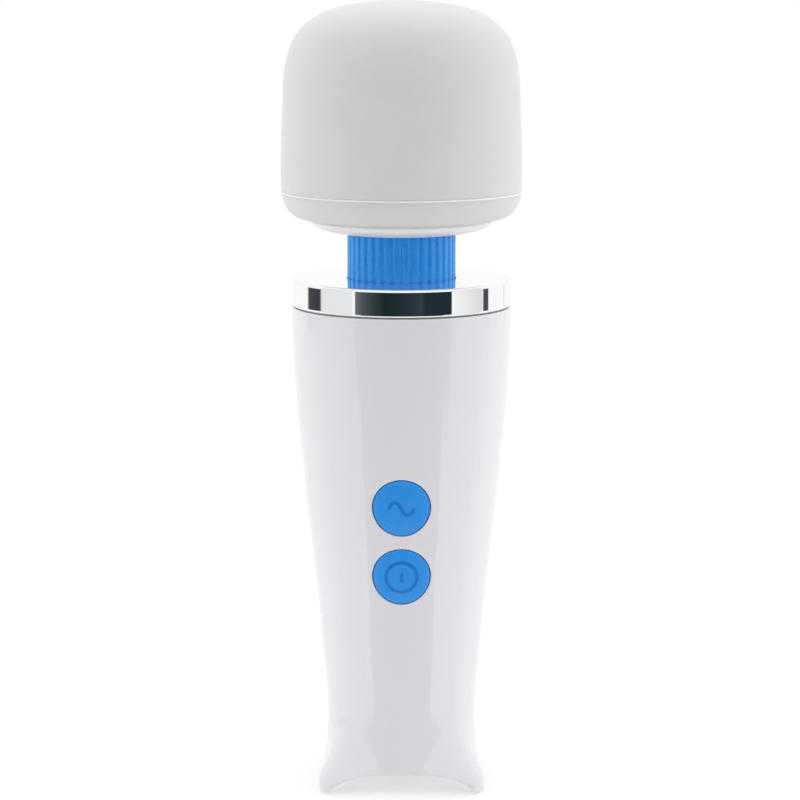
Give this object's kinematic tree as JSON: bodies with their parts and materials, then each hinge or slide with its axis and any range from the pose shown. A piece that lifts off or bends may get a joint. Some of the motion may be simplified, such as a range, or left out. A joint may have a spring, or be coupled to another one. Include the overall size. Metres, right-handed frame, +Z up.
{
  "type": "handheld wand massager",
  "caption": "Cordless handheld wand massager: glossy tapered handle with two push buttons, chrome ring, flexible ribbed neck and soft round head.",
  "frame": {"origin": "on the resting surface, under the middle of the foot", "axes": "+Z up along the handle to the head, -Y out of the front face with the buttons, +X to the right as seen from the front"},
  "size_m": [0.049, 0.049, 0.16],
  "materials": {
    "base_grey": "satin",
    "black_plastic": "matte",
    "board_green": "satin",
    "brass": "satin",
    "bronze": "matte",
    "button_blue": "satin",
    "cell_sleeve": "satin",
    "chrome": "mirror",
    "collar_white": "satin",
    "connector_cream": "matte",
    "copper": "satin",
    "core_steel": "satin",
    "inner_plastic": "matte",
    "isolator_rubber": "matte",
    "lead_insulation": "satin",
    "light_lens": "glossy",
    "magnet": "matte",
    "motor_steel": "satin",
    "nickel": "satin",
    "plug_white": "glossy",
    "screw_steel": "satin",
    "seal_rubber": "matte",
    "shaft_steel": "polished",
    "shell_white": "glossy",
    "silicone_white": "matte",
    "sleeve_blue": "satin",
    "spring_steel": "satin",
    "switch_red": "matte",
    "symbol_blue": "satin"
  },
  "bodies": {
    "handle": {"front_shell": "shell_white", "rear_shell": "shell_white", "screw_plugs": "plug_white", "shell_screws": "screw_steel", "base_cap": "base_grey", "base_screws": "screw_steel", "charge_socket": "black_plastic", "socket_contacts": "nickel", "chrome_ring": "chrome", "ring_gasket": "seal_rubber", "neck_clamp": "inner_plastic", "clamp_screws": "screw_steel", "inner_frame": "inner_plastic", "circuit_board": "board_green", "board_screws": "screw_steel", "board_components": "black_plastic", "controller_chip": "black_plastic", "button_lights": "light_lens", "mode_switch": "black_plastic", "power_switch": "black_plastic", "motor_connector": "connector_cream", "battery_connector": "connector_cream", "battery_cell": "cell_sleeve", "battery_tabs": "nickel", "battery_leads": "lead_insulation", "charge_leads": "lead_insulation"},
    "neck": {"neck_sleeve": "sleeve_blue", "neck_spring": "spring_steel", "motor_leads": "lead_insulation"},
    "head": {"head_cushion": "silicone_white", "core_cap": "inner_plastic", "head_base": "collar_white", "neck_retainer": "inner_plastic", "retainer_screws": "screw_steel", "motor_holder": "inner_plastic", "holder_ring": "inner_plastic", "motor_isolator": "isolator_rubber", "motor_can": "motor_steel", "motor_end_cap": "black_plastic", "motor_terminals": "brass", "motor_brushes": "copper", "lower_bush": "bronze", "upper_bush": "bronze", "motor_magnets": "magnet"},
    "rotor": {"motor_shaft": "shaft_steel", "rotor_core": "core_steel", "rotor_windings": "copper", "commutator": "copper", "eccentric_weight": "brass"},
    "mode_key": {"mode_button": "button_blue", "mode_symbol": "symbol_blue", "mode_plunger": "switch_red"},
    "power_key": {"power_button": "button_blue", "power_symbol": "symbol_blue", "power_plunger": "switch_red"}
  },
  "joints": [
    {"name": "neck_nod", "type": "hinge", "parent": "handle", "child": "neck", "pos_m": [0, 0, 0.1087], "axis": [1, 0, 0], "range_deg": [-12, 12], "stiffness_Nm_per_rad": 1.6, "deforming": ["neck_sleeve", "neck_spring", "motor_leads"]},
    {"name": "neck_sway", "type": "hinge", "parent": "neck", "child": "head", "pos_m": [0, 0, 0.1087], "axis": [0, 1, 0], "range_deg": [-12, 12], "stiffness_Nm_per_rad": 1.6, "deforming": ["neck_sleeve", "neck_spring", "motor_leads"]},
    {"name": "motor_spin", "type": "hinge", "parent": "head", "child": "rotor", "pos_m": [0, 0, 0.14], "axis": [0, 0, 1], "continuous": true},
    {"name": "mode_press", "type": "slide", "parent": "handle", "child": "mode_key", "axis": [0, 0.9945, 0.1051], "range_m": [0, 0.0006], "stiffness_N_per_m": 500, "springref_m": -0.0004},
    {"name": "power_press", "type": "slide", "parent": "handle", "child": "power_key", "axis": [0, 0.9945, 0.1051], "range_m": [0, 0.0006], "stiffness_N_per_m": 500, "springref_m": -0.0004}
  ]
}
